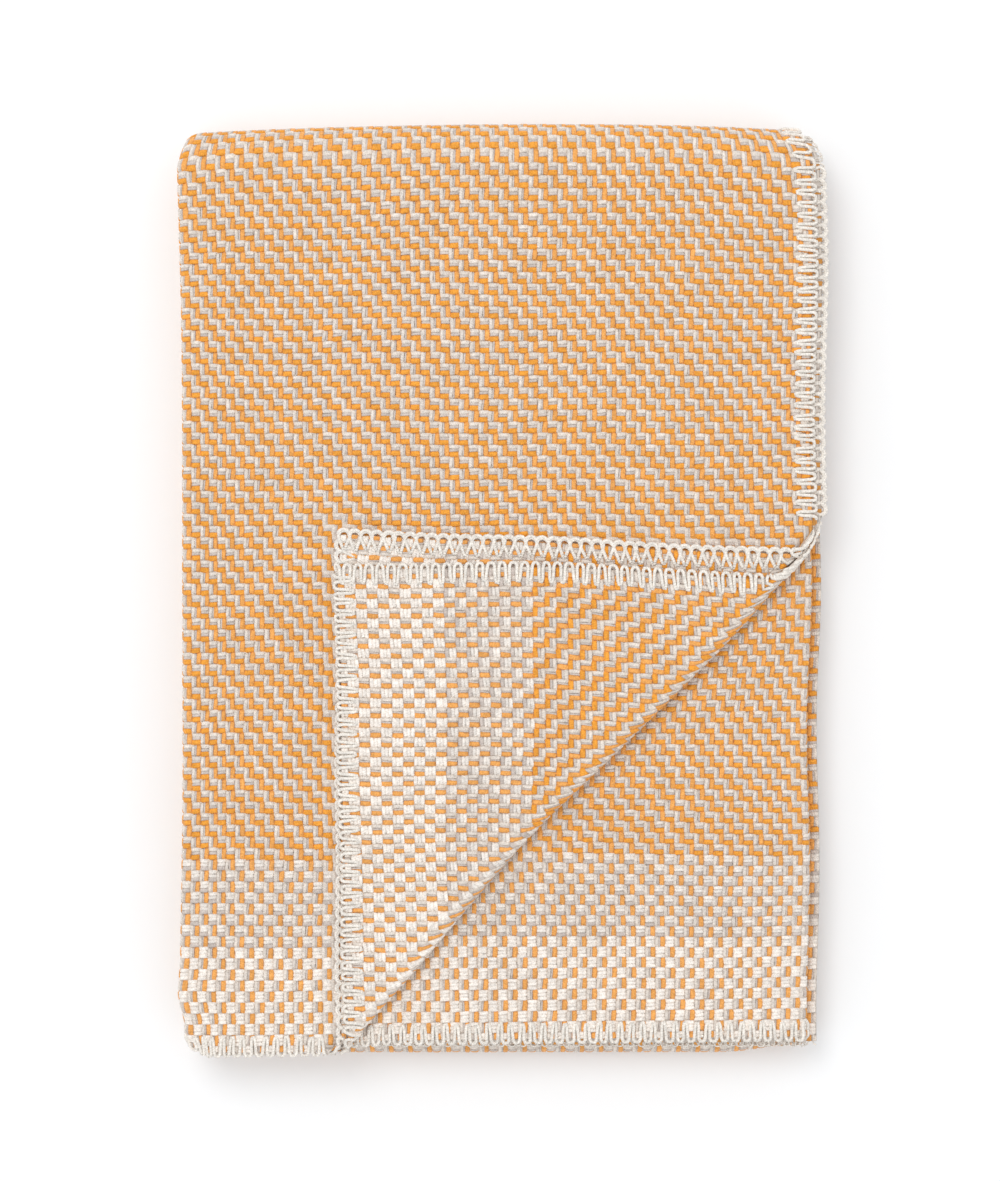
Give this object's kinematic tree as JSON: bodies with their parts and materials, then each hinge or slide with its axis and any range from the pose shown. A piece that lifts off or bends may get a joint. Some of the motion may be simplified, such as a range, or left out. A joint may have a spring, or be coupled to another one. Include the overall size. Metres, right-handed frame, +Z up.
{
  "type": "folded throw blanket",
  "caption": "Woven throw blanket folded into a flat rectangular stack, stitched edges, striped end bands, and one corner turned over along a diagonal crease",
  "frame": {"origin": "middle of the folded stack's bounding box, on the surface it lies on", "axes": "+Y along the folded length, towards the rolled top fold; +X towards the stitched long sides; +Z up, the turned corner on top"},
  "size_m": [0.354, 0.507, 0.0492],
  "materials": {
    "cloth_orange": "soft woollen basket weave in orange, cream and grey yarns",
    "cloth_banded": "the same weave near its end, with a cream band and a pale grey band",
    "edging_cream": "thick cream yarn in blanket stitch"
  },
  "bodies": {
    "folded_stack": {"cloth_strip_1": "cloth_orange", "cloth_strip_2": "cloth_orange", "cloth_strip_3": "cloth_orange", "cloth_strip_4": "cloth_orange", "left_inner_fold": "cloth_orange", "left_outer_fold": "cloth_orange", "right_fold": "cloth_orange", "side_edging_1": "edging_cream", "side_edging_4": "edging_cream", "end_edging_upper": "edging_cream", "end_edging_lower": "edging_cream", "crease_inner": "cloth_orange", "crease_outer": "cloth_orange"},
    "turned_corner": {"corner_cloth_1": "cloth_banded", "corner_cloth_4": "cloth_banded", "corner_side_edging_1": "edging_cream", "corner_side_edging_4": "edging_cream", "corner_end_edging_1": "edging_cream", "corner_end_edging_4": "edging_cream"}
  },
  "joints": [
    {"name": "corner_turn", "type": "hinge", "parent": "folded_stack", "child": "turned_corner", "pos_m": [0.03725, -0.10775, 0.04395], "axis": [0.6775, 0.7355, 0], "range_deg": [0, 180], "deforming": ["crease_inner", "crease_outer"]}
  ]
}
